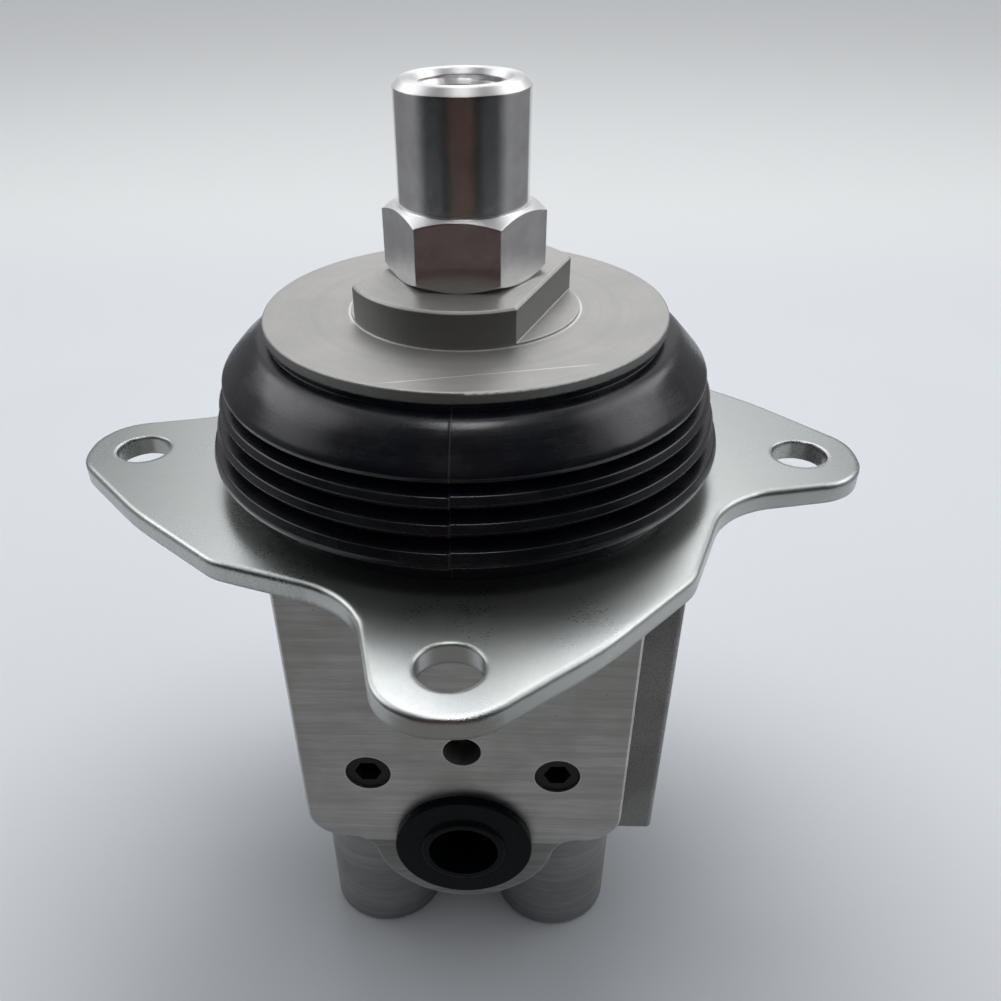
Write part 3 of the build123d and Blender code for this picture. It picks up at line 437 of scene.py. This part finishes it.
def boot_half(name, corners, cut):
    """A boot half: a closed section (radius, height) turned round the axis. Its radius gains a thin ridge
    where the mould halves met, falling off as exp(-(distance from the seam / RIDGE_W)^2), and a ripple of
    sin(3 turn) and sin(7 turn). The folds lean a little to one side, by -LEAN times the cosine of the
    heading. They step up across the seam by SLIP tanh(turn / SLIP_SOFT), fading as
    exp(-(turn / SLIP_REACH)^2)."""
    section = rounded(corners, cut)
    half = np.concatenate([np.linspace(0, 0.02, 17), np.linspace(0.02, np.pi, 150)[1:]])
    turn = np.concatenate([-half[:0:-1], half])[:-1]
    seam = SEAM_AT + turn
    ridge = RIDGE_H * np.exp(-(turn * SKIN_R / RIDGE_W) ** 2)
    ripple = RIPPLE * (np.sin(3 * turn + 0.6) + 0.6 * np.sin(7 * turn + 2.0))
    height = section[:, 1] - PLATE_TOP
    free = (np.clip((height - FREE_FROM) / FREE_FADE, 0, 1) *
            np.clip((FREE_TO - height) / FREE_FADE, 0, 1))
    outer = np.clip((section[:, 0] - LEAN_FROM) / LEAN_FADE, 0, 1)
    lean = -LEAN * np.cos(seam)[:, None] * (free * outer)[None, :]
    slip = SLIP * np.tanh(turn / SLIP_SOFT) * np.exp(-(turn / SLIP_REACH) ** 2)
    stepped = free * np.clip((SLIP_TOP - height) / MM, 0, 1)
    r = section[None, :, 0] + (ridge + ripple)[:, None] + lean
    z = section[None, :, 1] + slip[:, None] * stepped[None, :]
    points = np.stack([r * np.cos(seam)[:, None], r * np.sin(seam)[:, None], z], -1)
    step = np.linalg.norm(np.roll(section, -1, 0) - section, axis=1)
    along = np.concatenate([[0], np.cumsum(step)])
    across = np.append(turn, np.pi) * SKIN_R
    piece = sheet(name, points, (across, along))
    piece.data.materials.append(FINISHES["boot_rubber"])
    return piece


def cut_thread(name, centre, radius, depth, pitch, low, high):
    """A thread on a bore's wall: a ridge with a flat crest along a helix. After t turns its middle is at
    low + pitch t, its foot is sunk 0.03 mm into the wall and its crest stands a depth inside it. Both
    ends fade into the wall over a third of a turn."""
    turns = (high - low) / pitch
    t = np.linspace(0, turns, int(turns * 40) + 1)
    fade = np.clip(np.minimum(t, turns - t) * 3, 0.02, 1.0)
    angle = 2 * np.pi * t
    rise = np.array([0.0, 0.0, 1.0, 1.0, 0.0, 0.0])                 # share of the depth
    sunk = np.array([0.03, 0.0, 0.0, 0.0, 0.0, 0.03]) * MM
    aside = np.array([0.48, 0.42, 0.09, -0.09, -0.42, -0.48])       # share of the pitch
    r = radius - depth * fade[:, None] * rise + sunk
    z = low + pitch * (t[:, None] + aside[None, :] * (0.3 + 0.7 * fade[:, None]))
    points = np.stack([centre[0] + r * np.cos(angle)[:, None],
                       centre[1] + r * np.sin(angle)[:, None], z], -1)
    count, width = r.shape
    i, j = np.meshgrid(np.arange(count - 1), np.arange(width), indexing="ij")
    n = (j + 1) % width
    quads = np.stack([i * width + j, i * width + n, (i + 1) * width + n, (i + 1) * width + j], -1)
    mesh = bpy.data.meshes.new(name)
    ends = [list(range(width))[::-1], list(range((count - 1) * width, count * width))]
    mesh.from_pydata(points.reshape(-1, 3).tolist(), [], quads.reshape(-1, 4).tolist() + ends)
    piece = bpy.data.objects.new(name, mesh)
    bpy.context.scene.collection.objects.link(piece)
    return piece


# ---------------------------------------------------------------- boot

SEAM_AT = np.radians(-91.0)
SKIN_R = 37.0 * MM                              # where the seam's ridge and the skin's width are measured
RIDGE_H, RIDGE_W, RIPPLE = 0.08 * MM, 0.22 * MM, 0.04 * MM
# Between these heights above the plate the rubber is free to lean and step. At both ends it is held.
FREE_FROM, FREE_TO, FREE_FADE = 2.0 * MM, 21.5 * MM, 2.0 * MM
LEAN, LEAN_FROM, LEAN_FADE = 0.3 * MM, 32.0 * MM, 2.0 * MM      # how far, and from which radius
SLIP, SLIP_TOP = 0.11 * MM, 15.5 * MM                           # step across the seam, and where it ends
SLIP_SOFT, SLIP_REACH = 0.003, 0.5                              # turns, in radians
# The sections below are in millimetres: radius, and height above the plate.
BOOT_FOOT = ((33.8, 0.0), (36.9, 0.0), (36.5, 2.3))
# Each fold's lower corner, nose and upper corner, from the bottom up.
BOOT_FOLDS = (((40.50, 4.3), (40.6, 5.1), (40.2, 6.55)),
              ((38.95, 8.2), (39.5, 9.1), (39.1, 10.3)),
              ((38.20, 12.0), (38.6, 12.85), (38.1, 13.9)),
              ((37.50, 15.6), (37.65, 16.3), (37.3, 16.95)))
BOOT_VALLEYS = ((36.3, 3.1), (34.8, 6.9), (34.2, 10.6), (33.8, 14.2))
FOLD_CUTS = ((0.12, 0.3, 0.22), (0.45, 0.12, 0.22), (0.45, 0.12, 0.25), (0.12, 0.3, 0.5))
VALLEY_CUT, MEET_CUT = 0.7, 0.02                # the halves meet at a sharp corner
BOOT_WALL, FOLD_WALL = 1.3, 2.6                 # rubber at a valley and behind a nose
NECK_R, NECK_TOP, NECK_IN = 30.1, 22.8, 28.75   # the bead in the disc's groove


def lift(outline):
    """Millimetres above the plate to metres in the part's frame."""
    return np.array(outline, float) * MM + np.array([0.0, PLATE_TOP])


def inside(step):
    """The boot's inner wall at a valley, or at a fold for a half step."""
    if step % 1:
        nose = BOOT_FOLDS[int(step)][1]
        return nose[0] - FOLD_WALL, nose[1]
    return BOOT_VALLEYS[int(step)][0] - BOOT_WALL, BOOT_VALLEYS[int(step)][1]


meet = BOOT_VALLEYS[2]
lower_out = [*BOOT_FOOT, BOOT_VALLEYS[0], *BOOT_FOLDS[0], BOOT_VALLEYS[1], *BOOT_FOLDS[1], meet]
lower_cut = [0.1, 0.3, 0.5, VALLEY_CUT, *FOLD_CUTS[0], VALLEY_CUT, *FOLD_CUTS[1], MEET_CUT]
lower_in = [inside(2), inside(1.5), inside(1), inside(0.5), (33.8, 4.0)]
lower_in_cut = [MEET_CUT, 0.6, 0.6, 0.6, 0.4]
boot_lower = boot_half("boot_lower", lift(lower_out + lower_in), np.array(lower_cut + lower_in_cut) * MM)

upper_out = [meet, *BOOT_FOLDS[2], BOOT_VALLEYS[3], *BOOT_FOLDS[3], (34.4, 20.1), (32.2, 21.85),
             (NECK_R, 22.0), (NECK_R, NECK_TOP)]
upper_cut = [MEET_CUT, *FOLD_CUTS[2], VALLEY_CUT, *FOLD_CUTS[3], 2.5, 1.3, 0.2, 0.1]
upper_in = [(NECK_IN, NECK_TOP), (NECK_IN, 20.0), (32.8, 18.0), inside(3.5), inside(3), inside(2.5), inside(2)]
upper_in_cut = [0.1, 0.5, 0.8, 0.6, 0.6, 0.6, MEET_CUT]
boot_upper = boot_half("boot_upper", lift(upper_out + upper_in), np.array(upper_cut + upper_in_cut) * MM)

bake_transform(boot_lower)
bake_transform(boot_upper)
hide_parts("boot")
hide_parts("boot")


# ---------------------------------------------------------------- threads

handle_thread = cut_thread("handle_thread", centre=(0, 0), radius=6.2 * MM, depth=0.5 * MM, pitch=2.0 * MM,
                           low=NUT_TOP - 12.6 * MM, high=NUT_TOP - 1.2 * MM)
handle_thread.data.materials.append(FINISHES["bright_nut"])
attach(handle_thread, "lever")
for count, (sx, sy) in enumerate(((1, -1), (-1, 1), (1, 1), (-1, -1)), 1):
    port_thread = cut_thread(f"work_port_thread_{count}", centre=(sx * BOSS_AT, sy * BOSS_AT),
                             radius=5.9 * MM, depth=0.42 * MM, pitch=1.34 * MM, low=1.2 * MM,
                             high=12.4 * MM)
    port_thread.data.materials.append(FINISHES["body_aluminium"])
    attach(port_thread, "housing")


# ---------------------------------------------------------------- studio

FLOOR_REACH = 6.0
SHADOW_SPOT, SHADOW_OUTER, SHADOW_INNER = (0.0, -0.045, 0.0), 0.14, 0.05      # the floor's painted shadow round the part
LAMPS = (("softbox_left", (-0.62, 0.34, 0.72), 0.6, 0.8),               # name, place, size and power
         ("softbox_right", (0.62, 0.34, 0.72), 0.6, 0.9),
         ("back_lamp", (0.0, 0.37, 1.03), 0.40, 4.0),
         ("overhead_lamp", (0.0, -0.04, 1.15), 0.30, 1.9))
PANEL_AIM = (0.0, 0.66, 0.751)                  # direction of the lit panel behind and above
CARD_R, CARD_STEPS, CARD_FOOT = 0.30, 75, 0.002
CARD_FRONT_TOP, CARD_SIDE_TOP = 0.55, 0.24      # the card stands higher across the front
# Height of the glowing grey sheet that stands in for the shadowed floor in front, in reflections.
FLOOR_SHADE_Z = 0.0004


def studio_floor():
    """A flat pale sheet with a painted shadow darkening it round the part, and lighter far behind it."""
    mat, tree, shader, place = finish("studio_floor", Roughness=0.75, Specular_IOR_Level=0.2)
    at = put(tree, "SeparateXYZ", {0: place["Object"]}).outputs
    far = spread(tree, at["Y"], 0.30, 0.52)
    away = put(tree, "VectorMath", {0: place["Object"], 1: SHADOW_SPOT}, operation="DISTANCE").outputs["Value"]
    colour = tint(tree, far, (0.56, 0.585, 0.61, 1), (0.62, 0.64, 0.64, 1))
    # Painted shadow: the floor darkens towards the part.
    colour = tint(tree, spread(tree, away, SHADOW_OUTER, SHADOW_INNER), colour, (0.40, 0.42, 0.44, 1))
    wire(tree, shader, Base_Color=colour)
    mesh = bpy.data.meshes.new("studio_floor")
    corners = [(x * FLOOR_REACH, y * FLOOR_REACH, 0) for x, y in ((-1, -1), (1, -1), (1, 1), (-1, 1))]
    mesh.from_pydata(corners, [], [(0, 1, 2, 3)])
    floor = bpy.data.objects.new("studio_floor", mesh)
    mesh.materials.append(mat)
    bpy.context.scene.collection.objects.link(floor)


def studio_light():
    """A soft even room, brighter behind and at both sides, with a lit panel behind and above, a softbox
    at each side and two lamps overhead."""
    world = bpy.data.worlds.new("studio_room")
    bpy.context.scene.world = world
    world.use_nodes = True
    tree = world.node_tree
    ray = tree.nodes.new("ShaderNodeTexCoord").outputs["Generated"]
    aim = put(tree, "SeparateXYZ", {0: ray}).outputs
    panel = put(tree, "VectorMath", {0: ray, 1: PANEL_AIM}, operation="DOT_PRODUCT").outputs["Value"]
    level = spread(tree, aim["Z"], 0.45, 0.95, 0.51, 0.12)
    level = calc(tree, "MULTIPLY", level, spread(tree, aim["Y"], -0.6, 0.45, 0.30, 1.0))
    beside = calc(tree, "ADD", spread(tree, aim["X"], 0.48, 0.70, 0.0, 1.45),
                  spread(tree, aim["X"], -0.48, -0.70, 0.0, 1.15))
    beside = calc(tree, "MULTIPLY", beside, spread(tree, aim["Z"], 0.12, 0.32))
    level = calc(tree, "ADD", level, beside)
    level = calc(tree, "ADD", level, spread(tree, panel, 0.925, 0.985, 0.0, 2.2))
    pale = put(tree, "CombineXYZ", {0: level, 1: level, 2: calc(tree, "MULTIPLY", level, 1.03)}).outputs[0]
    tree.links.new(pale, tree.nodes["Background"].inputs["Color"])
    for name, place, size, power in LAMPS:
        lamp = bpy.data.lights.new(name, "AREA")
        lamp.shape, lamp.size, lamp.energy = "SQUARE", size, power
        softbox = bpy.data.objects.new(name, lamp)
        softbox.location = place
        aim = Vector((0, 0, 0.05)) - softbox.location
        softbox.rotation_euler = aim.to_track_quat("-Z", "Y").to_euler()
        softbox.visible_glossy = name != "back_lamp"
        bpy.context.scene.collection.objects.link(softbox)


def dark_surround():
    """What the plated parts mirror from in front and beside: glowing cards on an arc, the operator in brown,
    then dark and dull grey, and at their feet a glowing grey sheet, a painted reflection of the shadowed
    floor in front. None of it is seen directly or shades anything."""
    mat, tree, shader, place = finish("surround_card", Roughness=1.0, Specular_IOR_Level=0.0)
    shader.inputs["Base Color"].default_value = (0, 0, 0, 1)
    at = put(tree, "SeparateXYZ", {0: place["Object"]}).outputs
    front = calc(tree, "MULTIPLY", at["Y"], -1.0)
    swing = calc(tree, "ABSOLUTE", calc(tree, "ARCTAN2", at["X"], front))
    colour = tint(tree, spread(tree, swing, 0.26, 0.44), (0.042, 0.021, 0.015, 1), (0.006, 0.006, 0.006, 1))
    colour = tint(tree, spread(tree, swing, 1.0, 1.5), colour, (0.21, 0.21, 0.215, 1))
    # Painted reflection of shade: the sheet at the cards' feet glows grey, standing in for the shadowed floor
    # in front.
    colour = tint(tree, calc(tree, "LESS_THAN", at["Z"], 0.001), colour, (0.27, 0.27, 0.27, 1))
    tree.links.new(colour, shader.inputs["Emission Color"])
    shader.inputs["Emission Strength"].default_value = 1.0
    turn = np.radians(np.linspace(-238, 58, CARD_STEPS))
    foot = np.full_like(turn, CARD_FOOT)
    head = np.where(np.abs(turn + np.pi / 2) < np.radians(80), CARD_FRONT_TOP, CARD_SIDE_TOP)
    wall = np.stack([np.tile(CARD_R * np.cos(turn), 2), np.tile(CARD_R * np.sin(turn), 2),
                     np.append(foot, head)], -1)
    floor_shade_corners = [(-0.18, -0.29, FLOOR_SHADE_Z), (0.18, -0.29, FLOOR_SHADE_Z), (0.10, -0.060, FLOOR_SHADE_Z), (-0.10, -0.060, FLOOR_SHADE_Z)]
    quads = [(k, k + 1, k + 1 + CARD_STEPS, k + CARD_STEPS) for k in range(CARD_STEPS - 1)]
    quads.append(tuple(range(2 * CARD_STEPS, 2 * CARD_STEPS + 4)))
    mesh = bpy.data.meshes.new("surround_card")
    mesh.from_pydata(wall.tolist() + floor_shade_corners, [], quads)
    mesh.materials.append(mat)
    card = bpy.data.objects.new("surround_card", mesh)
    bpy.context.scene.collection.objects.link(card)
    card.visible_camera = card.visible_shadow = card.visible_diffuse = False


def camera():
    """The camera, from its heading, pitch and roll."""
    reach, height, yaw, swing, pitch, roll = 0.1442004, 0.170947, 0.047, 0.0005, 0.6725, -0.0152
    eye = np.array([reach * np.sin(yaw), -reach * np.cos(yaw), height])
    heading = yaw + swing
    ahead = np.array([-np.sin(heading) * np.cos(pitch), np.cos(heading) * np.cos(pitch), -np.sin(pitch)])
    right = np.cross(ahead, (0, 0, 1))
    right /= np.linalg.norm(right)
    up = np.cross(right, ahead)
    right, up = (np.cos(roll) * right + np.sin(roll) * up,
                 np.cos(roll) * up - np.sin(roll) * right)
    lens = bpy.data.cameras.new("camera")
    lens.lens, lens.sensor_width, lens.clip_start = 34.41, 36.0, 0.005
    lens.shift_x, lens.shift_y = 0.0308, 0.1247
    eye_piece = bpy.data.objects.new("camera", lens)
    turn = Matrix(np.column_stack([right, up, -ahead]).tolist()).to_4x4()
    eye_piece.matrix_world = Matrix.Translation(Vector(eye)) @ turn
    bpy.context.scene.collection.objects.link(eye_piece)
    bpy.context.scene.camera = eye_piece


studio_floor()
studio_light()
dark_surround()
camera()
bpy.context.scene.view_settings.view_transform = "Standard"
